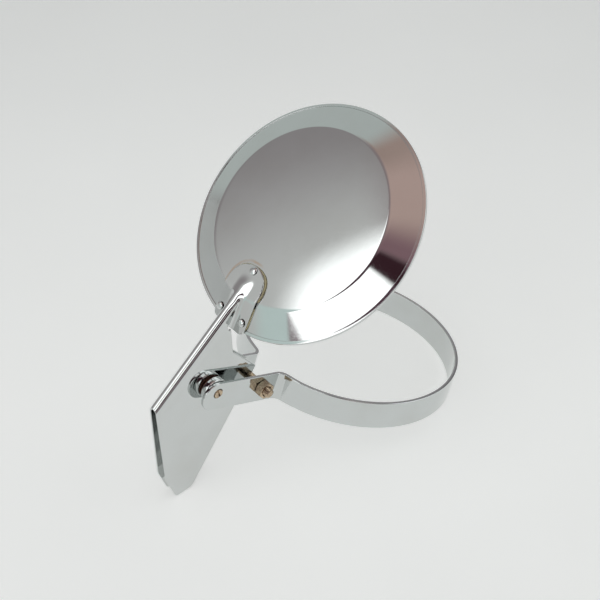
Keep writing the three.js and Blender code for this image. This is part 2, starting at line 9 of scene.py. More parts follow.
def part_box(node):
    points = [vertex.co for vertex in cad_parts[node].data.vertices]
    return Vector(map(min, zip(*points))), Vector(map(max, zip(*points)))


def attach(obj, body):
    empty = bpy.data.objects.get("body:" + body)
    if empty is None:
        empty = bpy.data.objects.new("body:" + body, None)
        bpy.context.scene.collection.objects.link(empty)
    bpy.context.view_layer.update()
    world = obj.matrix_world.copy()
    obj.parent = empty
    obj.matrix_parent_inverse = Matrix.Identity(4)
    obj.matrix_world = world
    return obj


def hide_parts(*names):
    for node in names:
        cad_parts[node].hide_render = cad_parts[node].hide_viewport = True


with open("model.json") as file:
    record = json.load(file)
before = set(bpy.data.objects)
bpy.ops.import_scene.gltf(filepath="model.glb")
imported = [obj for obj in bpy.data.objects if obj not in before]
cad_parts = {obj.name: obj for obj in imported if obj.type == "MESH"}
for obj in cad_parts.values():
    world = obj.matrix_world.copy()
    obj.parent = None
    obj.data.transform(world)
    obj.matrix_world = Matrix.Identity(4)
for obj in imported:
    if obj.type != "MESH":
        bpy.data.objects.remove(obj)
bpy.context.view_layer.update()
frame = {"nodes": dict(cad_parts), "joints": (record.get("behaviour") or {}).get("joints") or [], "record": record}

# Lengths below are in millimetres in a piece's own frame, unless a name ends in _M.
MM = 0.001
TAU = 2 * math.pi

# Camera, in degrees and metres of the part's frame
CAMERA_AZIMUTH = -39.32
CAMERA_ELEVATION = 44.43
CAMERA_ROLL = -1.39
CAMERA_TARGET_M = (-0.01534, -0.02063, 0.12576)
CAMERA_DISTANCE_M = 0.9
CAMERA_LENS = 92.56
CAMERA_SENSOR = 36
CAMERA_SHIFT_Y = -0.0025

# Mirror head
RIM_RADIUS = 75
BEVEL_RISE = 9
DOME_RADIUS = 57
CROWN_RISE = 12
STEP_BLEND = 0.5
SHELL = 0.9
SHELL_EDGE_RADIUS = 73.9
BEZEL = 0.7
BEZEL_FRONT = -1.7
BEZEL_INNER_RADIUS = 64.8
GLASS_RADIUS = 66.2
GLASS = 2
GLASS_BACK = 1.4
GLASS_BULGE = 1.2
PAD = 0.8
GAP = 0.3
GASKET = 0.5

# Gasket, and the three rivets' places on the shell's back as (x, y)
GASKET_OVERHANG = 0.15
GASKET_OUTER_X = -72.6
RIVETS = {"rivet_inner": (-41.5, 0), "rivet_front": (-69, -9.6), "rivet_rear": (-69, 9.6)}
RIVET_HEAD_RADIUS = 2.5
RIVET_RADIUS = 1.5
RIVET_DOME = 0.9

# Arm plate
SHEET = 1.2
SHEET_EDGE = 0.45
RIDGE_HEIGHT = 8.7
RIDGE_SLOPE = 0.0457
RIDGE_RADIUS = 3.6
FLANK_LEAN = math.tan(math.radians(1.4))
TAB_OUTER_X = -76.5
TAB_INNER_X = -38.5
TAB_HALF_WIDTH = 13.5
TAB_CORNER = 4
TAB_FILLET = 3
WAVE_RISE = 1.6
FOLD_RISE = 4.5
RIDGE_FADE_X = -52
RIDGE_NOSE_X = -44.5
RIDGE_OUTER_X = -142
RIDGE_OUTER_Z = 8
RIDGE_END_SLOPE = 0.5
HEEL_X = -177.5
HEEL_Z = -42.5
HEEL_RADIUS = 12
INNER_EDGE_X = -87.9
PIVOT_BORE = 2.7

# Band clamp
BAND_RADIUS = 71.8
BAND_WIDTH = 19
BAND = 2.25
BAND_EDGE = 0.45
LEG_OUTSIDE = 12
BEND_RADIUS = 5
LEG_RISE = math.radians(9)
RISE_CENTRE_X = -72
RISE_LENGTH = 10
LEG_REACH = 61
PIVOT_REACH = 50.5
PIVOT_LIFT = 2.4
BOLT_REACH = 14
BOLT_LIFT = 1.5

# Fasteners; a thread is its depth, its pitch and the chamfer at its end
PIVOT_SCREW_RADIUS = 2.4
PIVOT_THREAD = (0.4, 0.8, 0.4)
PIVOT_HEAD_RADIUS = 2.9
PIVOT_HEAD_STANDS = 0.5
SLOT_WIDTH = 1.3
SLOT_DEPTH = 1.6
SLOT_TURN = math.radians(50)
SPACER_RADIUS = 8.4
SLEEVE_RADIUS = 4.5
PIVOT_WASHER_RADIUS = 5
PIVOT_NUT_FLATS = 8
BOLT_RADIUS = 3
BOLT_THREAD = (0.5, 1.0, 0.55)
THREAD_END = 2
BOLT_END = 20.4
BOLT_HEAD = 4
BOLT_FLATS = 10
CLAMP_WASHER_RADIUS = 6
LOCK_WASHER_RADIUS = 5
NUT_CHAMFER_START = 0.96
NUT_CHAMFER_SLOPE = 1.73


# ------------------------------------------------------------------------------ places

def axes(origin, z_axis):
    """A frame whose Z runs along z_axis and whose Y is the pivot's; it takes millimetres."""
    y = Vector((0, 1, 0))
    z = Vector(z_axis).normalized()
    place = Matrix((y.cross(z), y, z)).transposed().to_4x4()
    place.translation = origin
    return place @ Matrix.Scale(MM, 4)


def head_axes():
    """The mirror head's frame, from the points of its turned bezel."""
    points = np.array([v.co for v in frame["nodes"]["bezel_ring"].data.vertices])
    points = np.unique(points.round(6), axis=0)
    centre = points.mean(0)
    axis = np.linalg.svd(points - centre, full_matrices=False)[2][-1]
    low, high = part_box("back_shell")
    if axis @ (np.array((low + high) / 2) - centre) < 0:
        axis = -axis
    front = ((points - centre) @ axis).min()
    return axes(Vector(centre + axis * (front - BEZEL_FRONT * MM)), axis)


def band_axes():
    """The band's frame, from the mounts on its two flat edges."""
    mounts = {mount["name"]: mount for mount in frame["record"]["mounts"]}
    upper = Vector(mounts["band_upper_edge"]["pos_m"])
    lower = Vector(mounts["band_lower_edge"]["pos_m"])
    centre = (upper + lower) / 2
    centre.y = 0
    return axes(centre, mounts["band_upper_edge"]["axis"])


def pin_axes(joint_name, legs):
    """A frame on a screw's axis with +Z towards the rear leg."""
    joint = {j["name"]: j for j in frame["joints"]}[joint_name]
    place = legs.copy()
    place.translation = Vector(joint["pos_m"])
    return place @ Matrix.Rotation(-math.pi / 2, 4, "X")


HEAD = head_axes()
BAND_PLACE = band_axes()
LEGS = BAND_PLACE @ Matrix.Translation((RISE_CENTRE_X, 0, 0)) @ Matrix.Rotation(LEG_RISE, 4, "Y")
PIVOT = pin_axes("pivot_screw_turn", LEGS)
BOLT = pin_axes("clamp_bolt_turn", LEGS)
HEAD_PIVOT = HEAD.inverted() @ PIVOT.translation


# ------------------------------------------------------------------------------ camera

def add_camera():
    """A camera that looks at its target from an azimuth and elevation, a little rolled."""
    azimuth = math.radians(CAMERA_AZIMUTH)
    elevation = math.radians(CAMERA_ELEVATION)
    roll = math.radians(CAMERA_ROLL)
    flat = math.cos(elevation)
    back = Vector((math.sin(azimuth) * flat, -math.cos(azimuth) * flat, math.sin(elevation)))
    level = Vector((0, 0, 1)).cross(back).normalized()
    right = level * math.cos(roll) + back.cross(level) * math.sin(roll)
    data = bpy.data.cameras.new("camera")
    data.sensor_width = CAMERA_SENSOR
    data.lens = CAMERA_LENS
    data.shift_y = CAMERA_SHIFT_Y
    camera = bpy.data.objects.new("camera", data)
    place = Matrix((right, back.cross(right), back)).transposed().to_4x4()
    place.translation = Vector(CAMERA_TARGET_M) + back * CAMERA_DISTANCE_M
    camera.matrix_world = place
    bpy.context.scene.collection.objects.link(camera)
    bpy.context.scene.camera = camera


add_camera()


# ------------------------------------------------------------------------------ nodes

class Graph:
    """Short calls for the nodes that the materials and the studio are made of."""

    def __init__(self, tree):
        self.tree = tree

    def put(self, socket, value):
        """Links a socket to another one's output, or sets its value."""
        if isinstance(value, bpy.types.NodeSocket):
            self.tree.links.new(value, socket)
        else:
            socket.default_value = value

    def add(self, kind, inputs=(), **settings):
        """A new node with its inputs, by name or number, and its settings."""
        node = self.tree.nodes.new(kind)
        for name, value in settings.items():
            setattr(node, name, value)
        for key, value in dict(inputs).items():
            self.put(node.inputs[key], value)
        return node

    def math(self, operation, a, b=0.0):
        return self.add("ShaderNodeMath", {0: a, 1: b}, operation=operation).outputs[0]

    def position(self, scale=(1, 1, 1)):
        """Points of the piece in metres, stretched by scale."""
        place = self.add("ShaderNodeTexCoord").outputs["Object"]
        return self.add("ShaderNodeMapping", {"Vector": place, "Scale": scale}).outputs[0]

    def noise(self, scale, detail=3.0, roughness=0.5, stretch=(1, 1, 1)):
        """Noise fixed to the piece, whose scale is in waves per metre."""
        inputs = {
            "Vector": self.position(stretch),
            "Scale": scale,
            "Detail": detail,
            "Roughness": roughness,
        }
        return self.add("ShaderNodeTexNoise", inputs).outputs["Fac"]

    def range(self, value, low, high, to_low, to_high, smooth=False):
        """Takes low to to_low and high to to_high, in a straight line or with level ends."""
        inputs = {"Value": value, 1: low, 2: high, 3: to_low, 4: to_high}
        kind = "SMOOTHSTEP" if smooth else "LINEAR"
        return self.add("ShaderNodeMapRange", inputs, interpolation_type=kind).outputs[0]

    def mix(self, share, a, b):
        """Colour a where share is 0 and colour b where it is 1."""
        node = self.add("ShaderNodeMix", data_type="RGBA")
        for key, value in ((0, share), (6, a), (7, b)):
            self.put(node.inputs[key], value)
        return node.outputs[2]

    def bump(self, height, distance, normal=None):
        """A normal for relief of a height in metres, on top of another normal if one is given."""
        inputs = {"Height": height, "Distance": distance, "Strength": 1.0}
        node = self.add("ShaderNodeBump", inputs)
        if normal:
            self.put(node.inputs["Normal"], normal)
        return node.outputs[0]


# ------------------------------------------------------------------------------ materials

# Colours, in linear light
PLATE = (0.64, 0.66, 0.655)
STRAP_PLATE = (0.63, 0.655, 0.65)
TARNISH = (0.60, 0.50, 0.41, 1)
ZINC_GOLD = (0.62, 0.50, 0.35, 1)
ZINC_BROWN = (0.38, 0.28, 0.20, 1)
ZINC_DULL = (0.20, 0.15, 0.12, 1)
SILVER = (0.86, 0.90, 0.89, 1)
DUST = (0.66, 0.68, 0.67, 1)
SEAL_TONES = (0.018, 0.018, 0.02, 1), (0.04, 0.04, 0.042, 1)
BOARD_TONES = (0.22, 0.18, 0.13, 1), (0.42, 0.36, 0.27, 1)
GASKET_TONES = (0.66, 0.56, 0.32, 1), (0.86, 0.78, 0.52, 1)
FIBRE_TONES = (0.07, 0.025, 0.015, 1), (0.20, 0.08, 0.05, 1)
PAPER_TONES = (0.79, 0.80, 0.79, 1), (0.84, 0.85, 0.84, 1)

# Height of the plate's orange peel
PEEL_M = 1.2e-6


def start(name, metallic, **uniform):
    """A material's graph and its shader, with the values that don't vary over the surface."""
    material = bpy.data.materials.new(name)
    material.use_nodes = True
    shader = material.node_tree.nodes["Principled BSDF"]
    shader.inputs["Metallic"].default_value = metallic
    for socket, value in uniform.items():
        shader.inputs[socket.replace("_", " ")].default_value = value
    return material, Graph(material.node_tree), shader.inputs


def chrome(name, colour=PLATE, low=0.03, high=0.075, lines=(1, 1, 1), tint=None):
    """Bright plate with hand smudges, fine polishing lines, orange peel and a few dull specks. Its
    roughness runs from low to high, lines squeezes the polish, and tint recolours the surface."""
    material, graph, out = start(name, 1.0)
    smudge = graph.noise(45, 5, 0.6)
    polish = graph.noise(900, 2, 0.6, lines)
    specks = graph.range(graph.noise(1400, 1, 0.4), 0.72, 0.76, 0, 1)
    rough = graph.range(smudge, 0.35, 0.7, low, high)
    rough = graph.math("ADD", rough, graph.range(polish, 0.4, 0.8, 0, 0.02))
    rough = graph.math("ADD", rough, graph.math("MULTIPLY", specks, 0.12))
    graph.put(out["Roughness"], rough)
    clean = (*colour, 1)
    worn = (colour[0] * 0.955, colour[1] * 0.95, colour[2] * 0.94, 1)
    surface = graph.mix(graph.range(graph.noise(28, 4, 0.55), 0.45, 0.75, 0, 1), clean, worn)
    if tint:
        surface = tint(graph, surface)
    graph.put(out["Base Color"], surface)
    waves = graph.bump(graph.noise(160, 2, 0.4), PEEL_M * 6)
    graph.put(out["Normal"], graph.bump(polish, PEEL_M, waves))
    return material


def tab_halo(graph, surface):
    """A tan tarnish line on the shell round the rear half of the tab's inner end."""
    centre = HEAD @ Vector((TAB_INNER_X - TAB_HALF_WIDTH, 0, CROWN_RISE))
    place = graph.add("ShaderNodeTexCoord").outputs["Object"]
    inputs = {0: place, 1: tuple(centre)}
    distance = graph.add("ShaderNodeVectorMath", inputs, operation="DISTANCE").outputs["Value"]
    wobble = graph.range(graph.noise(90, 3), 0.3, 0.7, -0.0006, 0.0006)
    distance = graph.math("ADD", distance, wobble)
    reach = (TAB_HALF_WIDTH + 2.2) * MM
    inside = graph.range(distance, reach - 0.0014, reach, 0, 1, True)
    outside = graph.range(distance, reach + 0.0002, reach + 0.0014, 1, 0, True)
    share = graph.math("MULTIPLY", inside, outside)
    patchy = graph.range(graph.noise(120, 3), 0.35, 0.6, 0.35, 1)
    share = graph.math("MULTIPLY", share, patchy)
    across = graph.add("ShaderNodeSeparateXYZ", {0: place}).outputs[1]
    rear = graph.range(across, -0.004, 0.003, 0, 1, True)
    return graph.mix(graph.math("MULTIPLY", share, rear), surface, TARNISH)


def zinc(name):
    """Yellow passivated zinc: patchy gold and brown over fine turned steel."""
    material, graph, out = start(name, 1.0)
    patch = graph.noise(350, 4, 0.6)
    brown = graph.range(patch, 0.35, 0.65, 0, 1)
    gold = graph.mix(brown, ZINC_GOLD, ZINC_BROWN)
    dull = graph.range(graph.noise(1200, 3, 0.6), 0.55, 0.75, 0, 1)
    graph.put(out["Base Color"], graph.mix(dull, gold, ZINC_DULL))
    graph.put(out["Roughness"], graph.range(patch, 0.3, 0.7, 0.14, 0.3))
    grain = graph.noise(2600, 3, 0.6)
    graph.put(out["Normal"], graph.bump(grain, 6e-6))
    return material


def mirror_glass():
    """Silvered glass with a faint green body and a film of dust."""
    material, graph, out = start("mirror_glass", 1.0, Coat_Weight=1.0, Coat_Roughness=0.01)
    film = graph.noise(60, 5, 0.6)
    graph.put(out["Roughness"], graph.range(film, 0.45, 0.75, 0.004, 0.03))
    dust = graph.range(graph.noise(2400, 1, 0.4), 0.74, 0.78, 0, 1)
    graph.put(out["Base Color"], graph.mix(dust, SILVER, DUST))
    graph.put(out["Normal"], graph.bump(graph.noise(22, 2), 4e-6))
    return material


def matt(name, dark, light, scale, rough, grain, height):
    """A dull material in two tones, whose grain has a scale and a height in metres of its own."""
    material, graph, out = start(name, 0.0)
    tone = graph.noise(scale, 4, 0.6)
    graph.put(out["Base Color"], graph.mix(graph.range(tone, 0.35, 0.65, 0, 1), dark, light))
    graph.put(out["Roughness"], graph.range(tone, 0.3, 0.7, rough, min(rough + 0.15, 1)))
    graph.put(out["Normal"], graph.bump(graph.noise(grain, 4, 0.65), height))
    return material


MATERIALS = {
    "chrome_dish": chrome("chrome_dish", tint=tab_halo),
    "chrome_bezel": chrome("chrome_bezel", low=0.05, high=0.1),
    "mirror": mirror_glass(),
    "seal": matt("seal", *SEAL_TONES, 300, 0.55, 1800, 2e-5),
    "pad": matt("pad", *BOARD_TONES, 260, 0.85, 1500, 6e-5),
    "chrome_sheet": chrome("chrome_sheet", lines=(0.2, 3, 0.2)),
    "gasket": matt("gasket", *GASKET_TONES, 700, 0.75, 2500, 4e-5),
    "chrome_rivet": chrome("chrome_rivet", low=0.08, high=0.16),
    "chrome_strap": chrome("chrome_strap", STRAP_PLATE, 0.045, 0.1, lines=(0.3, 0.3, 3)),
    "chrome_spacer": chrome("chrome_spacer", low=0.04, high=0.09, lines=(3, 0.1, 3)),
    "fibre": matt("fibre", *FIBRE_TONES, 900, 0.7, 3000, 3e-5),
    "zinc": zinc("zinc"),
}


# ------------------------------------------------------------------------------ meshes

def merged_mesh(verts, faces, facing=None):
    """A mesh with merged points and outward faces. An open sheet also gets facing, a point and
    the direction that the sheet's face looks in there."""
    work = bmesh.new()
    for spot in verts:
        work.verts.new(spot)
    work.verts.ensure_lookup_table()
    for face in faces:
        corners = []
        for index in face:
            if work.verts[index] not in corners:
                corners.append(work.verts[index])
        if len(corners) > 2:
            work.faces.new(corners)
    bmesh.ops.remove_doubles(work, verts=work.verts, dist=1e-4)
    bmesh.ops.dissolve_degenerate(work, dist=1e-5, edges=work.edges)
    loose = [v for v in work.verts if not v.link_faces]
    bmesh.ops.delete(work, geom=loose, context="VERTS")
    bmesh.ops.recalc_face_normals(work, faces=work.faces)
    if facing:
        spot, direction = facing
        nearest = min(work.faces, key=lambda f: (f.calc_center_median() - Vector(spot)).length)
        if nearest.normal.dot(Vector(direction)) < 0:
            bmesh.ops.reverse_faces(work, faces=work.faces)
    mesh = bpy.data.meshes.new("piece")
    work.to_mesh(mesh)
    work.free()
    return mesh


def piece(node, mesh, place, slot, body, crease=30):
    """Puts a finished mesh where the frame says, in place of its CAD node."""
    name = node + "_fine"
    mesh.transform(place)
    mesh.name = name
    mesh.materials.clear()
    mesh.materials.append(MATERIALS[slot])
    mesh.polygons.foreach_set("use_smooth", [True] * len(mesh.polygons))
    if crease:
        mesh.set_sharp_from_angle(angle=math.radians(crease))
    made = bpy.data.objects.new(name, mesh)
    bpy.context.scene.collection.objects.link(made)
    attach(made, body)
    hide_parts(node)


def lathe(profile, segments, closed=True):
    """A turned mesh about Z from (radius, height) points, which join up where closed is true."""
    count = len(profile)
    verts = []
    for s in range(segments):
        turn = TAU * s / segments
        verts += [(r * math.cos(turn), r * math.sin(turn), h) for r, h in profile]
    faces = []
    for s in range(segments):
        here = s * count
        there = (s + 1) % segments * count
        for i in range(count if closed else count - 1):
            j = (i + 1) % count
            faces.append((here + i, there + i, there + j, here + j))
    return merged_mesh(verts, faces)


def rounded(corners, steps=4):
    """Points round a closed outline of (a, b, radius) corners."""
    spots = [Vector(corner[:2]) for corner in corners]
    points = []
    for i, corner in enumerate(corners):
        spot = spots[i]
        before = (spots[i - 1] - spot).normalized()
        after = (spots[(i + 1) % len(spots)] - spot).normalized()
        radius = corner[2]
        if radius == 0:
            points.append(tuple(spot))
            continue
        half = math.acos(max(-1, min(1, before.dot(after)))) / 2
        run = radius / math.tan(half)
        first = spot + before * run
        last = spot + after * run
        for k in range(steps + 1):
            t = k / steps
            points.append(tuple(first * (1 - t) ** 2 + spot * 2 * t * (1 - t) + last * t * t))
    return points


def ring(outer, inner, low, high, edge, segments=64, steps=4):
    """A turned ring whose edges are rounded, by 0.15 mm at most at the bore."""
    small = min(edge, 0.15)
    corners = [(inner, low, small), (outer, low, edge), (outer, high, edge), (inner, high, small)]
    return lathe(rounded(corners, steps), segments)


def finished(mesh, *modifiers):
    """The mesh after a list of (kind, settings) modifiers."""
    holder = bpy.data.objects.new("holder", mesh)
    bpy.context.scene.collection.objects.link(holder)
    for kind, settings in modifiers:
        modifier = holder.modifiers.new(kind, kind)
        for key, value in settings.items():
            setattr(modifier, key, value)
    bpy.context.view_layer.update()
    view = holder.evaluated_get(bpy.context.evaluated_depsgraph_get())
    result = bpy.data.meshes.new_from_object(view)
    bpy.data.objects.remove(holder)
    return result


def halves(loop, holes, left, right):
    """Splits a flat outline with a row of round holes into an upper and a lower face. The loop runs
    from its left cut along the bottom to its right cut. The holes are in order from the right, and
    each starts at its right and turns up."""
    count = len(loop)
    lower = [loop[(left + i) % count] for i in range((right - left) % count + 1)]
    upper = [loop[(left - i) % count] for i in range((left - right) % count + 1)]
    for hole in holes:
        middle = len(hole) // 2
        upper += hole[:middle + 1]
        lower += [hole[0]] + hole[:middle - 1:-1]
    return [upper, lower]


def circle(x, y, radius):
    """40 points round a circle, starting at its right and turning up."""
    turns = [TAU * i / 40 for i in range(40)]
    return [(x + radius * math.cos(a), y + radius * math.sin(a)) for a in turns]


def sheet_metal(mesh, thickness, edge):
    """Gives an open sheet its thickness on the far side of its face, with eased edges."""
    thick = {"thickness": thickness, "offset": -1, "use_even_offset": True, "use_rim": True}
    eased = {
        "width": edge,
        "segments": 3,
        "limit_method": "ANGLE",
        "angle_limit": math.radians(50),
        "use_clamp_overlap": False,
    }
    level = {"mode": "FACE_AREA", "keep_sharp": False}
    mesh.polygons.foreach_set("use_smooth", [True] * len(mesh.polygons))
    return finished(mesh, ("SOLIDIFY", thick), ("BEVEL", eased), ("WEIGHTED_NORMAL", level))


# ------------------------------------------------------------------------------ mirror head

def smoothstep(value, low, high):
    """Rises from 0 at low to 1 at high with level ends."""
    t = max(0, min(1, (value - low) / (high - low)))
    return t * t * (3 - 2 * t)


def dish_height(radius):
    """Height of the mirror's back: a straight bevel, then a low dome."""
    bevel = BEVEL_RISE * (RIM_RADIUS - radius) / (RIM_RADIUS - DOME_RADIUS)
    dome = BEVEL_RISE + (CROWN_RISE - BEVEL_RISE) * (1 - (radius / DOME_RADIUS) ** 2)
    blend = max(STEP_BLEND - abs(bevel - dome), 0) / STEP_BLEND
    return min(bevel, dome) - blend * blend * STEP_BLEND / 4


def dish_profile(offset):
    """Points at a depth under the back, with more of them where the bevel meets the dome."""
    dome = np.linspace(0, DOME_RADIUS - 4, 24)
    step = DOME_RADIUS + np.array([-2.4, -1.8, -1.4, *np.linspace(-1.1, 1.3, 9), 1.8, 2.4])
    bevel = np.linspace(DOME_RADIUS + 4, SHELL_EDGE_RADIUS, 8)
    points = []
    for radius in (*dome, *step, *bevel):
        rise = dish_height(radius + 0.01) - dish_height(abs(radius - 0.01))
        slope = rise / 0.02 if radius else 0
        length = math.hypot(1, slope)
        points.append((radius + slope * offset / length, dish_height(radius) - offset / length))
    return points


def back_shell():
    """The spun dish, with the same thickness all over."""
    return lathe(dish_profile(SHELL) + dish_profile(0)[::-1], 240, closed=False)


def bezel_ring():
    """The rolled rim: a lip over the glass's seal, round the edge and over the shell's edge."""
    edge = dish_height(SHELL_EDGE_RADIUS)
    lip = dish_height(SHELL_EDGE_RADIUS - 0.8)
    return lathe(rounded([
        (BEZEL_INNER_RADIUS, BEZEL_FRONT, 0.25),
        (RIM_RADIUS, BEZEL_FRONT, 0.9),
        (RIM_RADIUS, edge + 0.05, 0.45),
        (SHELL_EDGE_RADIUS - 0.7, lip + 0.32, 0.15),
        (SHELL_EDGE_RADIUS - 0.8, lip + 0.04, 0.02),
        (RIM_RADIUS - BEZEL, edge + 0.03, 0.1),
        (RIM_RADIUS - BEZEL, BEZEL_FRONT + BEZEL, 0.3),
        (BEZEL_INNER_RADIUS, BEZEL_FRONT + BEZEL, 0.25),
    ], 5), 240)


def convex_disc(radius, back, thickness, bulge, edge):
    """A disc whose two faces bulge forward, with a ground edge."""
    steps = [i / 16 for i in range(16)] + [1 - edge / radius]
    face = [(s * radius, -bulge * (1 - s * s)) for s in steps]
    front = [(r, back - thickness + h) for r, h in face]
    rear = [(r, back + h) for r, h in face]
    rim = [(radius, back - thickness + edge), (radius, back - edge)]
    return lathe(front + rim + rear[::-1], 192, closed=False)


def glass_seal():
    """A rubber channel round the glass, between its edge and the bezel."""
    front = BEZEL_FRONT + BEZEL + GAP / 2
    glass_front = GLASS_BACK - GLASS
    outer = GLASS_RADIUS + 0.9
    inner = GLASS_RADIUS - 1.2
    return lathe(rounded([
        (inner, front, 0.1),
        (outer, front, 0.2),
        (outer, GLASS_BACK - 0.4, 0.2),
        (GLASS_RADIUS + GAP, GLASS_BACK - 0.4, 0.1),
        (GLASS_RADIUS + GAP, glass_front - 0.1, 0.02),
        (inner, glass_front - 0.2, 0.05),
    ]), 192)


# ------------------------------------------------------------------------------ arm plate

ARC_STEPS = 9
FILLET_STEPS = 8
TAB_STEPS = 14
TAB_STATIONS = 76
RIDGE_FOOT = RIDGE_RADIUS + TAB_FILLET
FLANK_TOP = RIDGE_HEIGHT - RIDGE_RADIUS
CELL = (TAB_HALF_WIDTH - RIDGE_FOOT) / TAB_STEPS


def tab_height(x, y):
    """Height of the tab's outer face, which follows the shell's back."""
    back = dish_height(min(math.hypot(x, y), RIM_RADIUS + 3))
    return back + GAP + GASKET + GAP + SHEET


def ridge_line(x):
    """Height of the arm's straight ridge, which climbs a little from its outer end."""
    return RIDGE_HEIGHT + RIDGE_SLOPE * (x - RIDGE_OUTER_X)


def ridge_top(x):
    """Height of the ridge over the tab: straight, then ending in the tab's surface."""
    fade = smoothstep(x, RIDGE_FADE_X, RIDGE_NOSE_X)
    return ridge_line(x) + (tab_height(x, 0) - ridge_line(x)) * fade


def half_section(x):
    """The sheet's outer face across one side of the tab, from the ridge outwards: (y, z). It is a
    soft wave where the ridge rises little, and a fold with a fillet at its foot further out."""
    top = ridge_top(x)
    base = tab_height(x, RIDGE_FOOT)
    rise = max(top - base, 0)
    flank = max(rise - RIDGE_FOOT, 0)
    squash = min(rise / RIDGE_FOOT, 1)
    folded = []
    for i in range(ARC_STEPS + 1):
        a = math.pi / 2 * i / ARC_STEPS
        folded.append((RIDGE_RADIUS * math.sin(a), top - squash * RIDGE_RADIUS * (1 - math.cos(a))))
    edge_y, edge_z = folded[-1]
    for i in range(FILLET_STEPS + 1):
        a = math.pi / 2 * i / FILLET_STEPS
        y = edge_y + flank * FLANK_LEAN * (1 - i / FILLET_STEPS) + TAB_FILLET * (1 - math.cos(a))
        folded.append((y, edge_z - flank - squash * TAB_FILLET * math.sin(a)))
    soft = 1 - smoothstep(rise, WAVE_RISE, FOLD_RISE)
    rows = []
    last = len(folded) - 1
    for i, (y, z) in enumerate(folded):
        share = i / last
        wave_y = RIDGE_FOOT * share
        wave = tab_height(x, wave_y) + rise * (0.5 + 0.5 * math.cos(math.pi * share))
        rows.append((y + (wave_y - y) * soft, z + (wave - z) * soft))
    for i in range(1, TAB_STEPS + 1):
        y = RIDGE_FOOT + CELL * i
        rows.append((y, tab_height(x, y)))
    return rows


def squared_off(x, y, centre_x, centre_y, radius):
    """Moves a point of a square grid into the round corner or end that the square stands for."""
    u = (x - centre_x) / radius
    v = (y - centre_y) / radius
    round_u = u * math.sqrt(1 - v * v / 2)
    round_v = v * math.sqrt(1 - u * u / 2)
    return (centre_x + radius * round_u, centre_y + radius * round_v)


def tab_point(x, y, z):
    """A point of the tab's grid, inside its round end and its two outer corners."""
    end_x = TAB_INNER_X - TAB_HALF_WIDTH
    corner_x = TAB_OUTER_X + TAB_CORNER
    corner_y = TAB_HALF_WIDTH - TAB_CORNER
    if x > end_x:
        x, y = squared_off(x, y, end_x, 0, TAB_HALF_WIDTH)
        rise = max(ridge_top(x) - tab_height(x, RIDGE_FOOT), 0)
        z = tab_height(x, y) + rise * (0.5 + 0.5 * math.cos(math.pi * min(abs(y) / RIDGE_FOOT, 1)))
    elif x < corner_x and abs(y) > corner_y:
        x, y = squared_off(x, y, corner_x, math.copysign(corner_y, y), TAB_CORNER)
        z = tab_height(x, y)
    return (x, y, z)


def outer_end_x(z):
    """Where the ridge and the flank's top end, on the plate's slanting outer edge."""
    rise = z - RIDGE_OUTER_Z
    if rise > 0:
        return RIDGE_OUTER_X + rise * RIDGE_END_SLOPE
    return RIDGE_OUTER_X + rise * (RIDGE_OUTER_X - HEEL_X) / (RIDGE_OUTER_Z - HEEL_Z)


def arm_plate():
    """The outer face of the folded sheet as one open surface, then its thickness."""
    verts = []
    faces = []

    def quads(grid):
        """Faces between neighbouring rows of point numbers."""
        for left, right in zip(grid, grid[1:]):
            for i in range(len(left) - 1):
                faces.append([left[i], left[i + 1], right[i + 1], right[i]])

    def place(x, y, z):
        """Adds a point and gives its number."""
        verts.append((x, y, z))
        return len(verts) - 1

    stations = []
    for k in range(TAB_STATIONS + 1):
        x = TAB_OUTER_X + (TAB_INNER_X - TAB_OUTER_X) * k / TAB_STATIONS
        half = half_section(x)
        across = [(-y, z) for y, z in half[:0:-1]] + half
        stations.append([place(*tab_point(x, y, z)) for y, z in across])
    quads(stations)

    middle = len(stations[0]) // 2
    joint = stations[0][middle - ARC_STEPS:middle + ARC_STEPS + 1]
    columns = 12
    strip = [joint]
    for k in range(1, columns + 1):
        share = k / columns
        row = []
        for i in joint:
            x, y, z = verts[i]
            end_z = z - RIDGE_SLOPE * (TAB_OUTER_X - RIDGE_OUTER_X)
            row.append(place(x + (outer_end_x(end_z) - x) * share, y, z + (end_z - z) * share))
        strip.append(row)
    quads(strip)

    # Each flank is cut in two at the pivot's height; its corners run down the outer edge, round
    # the foot and up the inner edge to the tab.
    cut_z = HEAD_PIVOT.z
    outline = rounded([
        (outer_end_x(FLANK_TOP), FLANK_TOP, 0),
        (outer_end_x(cut_z), cut_z, 0),
        (HEEL_X, HEEL_Z, HEEL_RADIUS),
        (-184, -61.5, 3),
        (-173.5, -68, 5),
        (INNER_EDGE_X + 0.1, -42.3, 1),
        (INNER_EDGE_X, cut_z, 0),
        (INNER_EDGE_X, -15.3, 1),
        (TAB_OUTER_X, 0.5, 1),
    ], 8)
    bore = circle(HEAD_PIVOT.x, HEAD_PIVOT.z, PIVOT_BORE)
    for side in (-1, 1):
        end = 0 if side < 0 else -1
        fillet_start = stations[0][middle + side * (ARC_STEPS + 1)]
        loop = [fillet_start] + [row[end] for row in strip]

        def flank_point(x, z):
            """A point on this side's flank, which leans out from the ridge down."""
            depth = ridge_line(x) - RIDGE_RADIUS - z
            return place(x, side * (RIDGE_RADIUS + depth * FLANK_LEAN), z)

        first = len(loop)
        loop += [flank_point(x, z) for x, z in outline[1:]]
        hole = [flank_point(x, z) for x, z in bore]
        nearness = [abs(z - cut_z) - 0.01 * x for x, z in outline[1:]]
        right = first + nearness.index(min(nearness))
        faces += halves(loop, [hole], first, right)

    on_ridge = ((-100, 0, RIDGE_HEIGHT), (0, 0, 1))
    return sheet_metal(merged_mesh(verts, faces, on_ridge), SHEET, SHEET_EDGE)


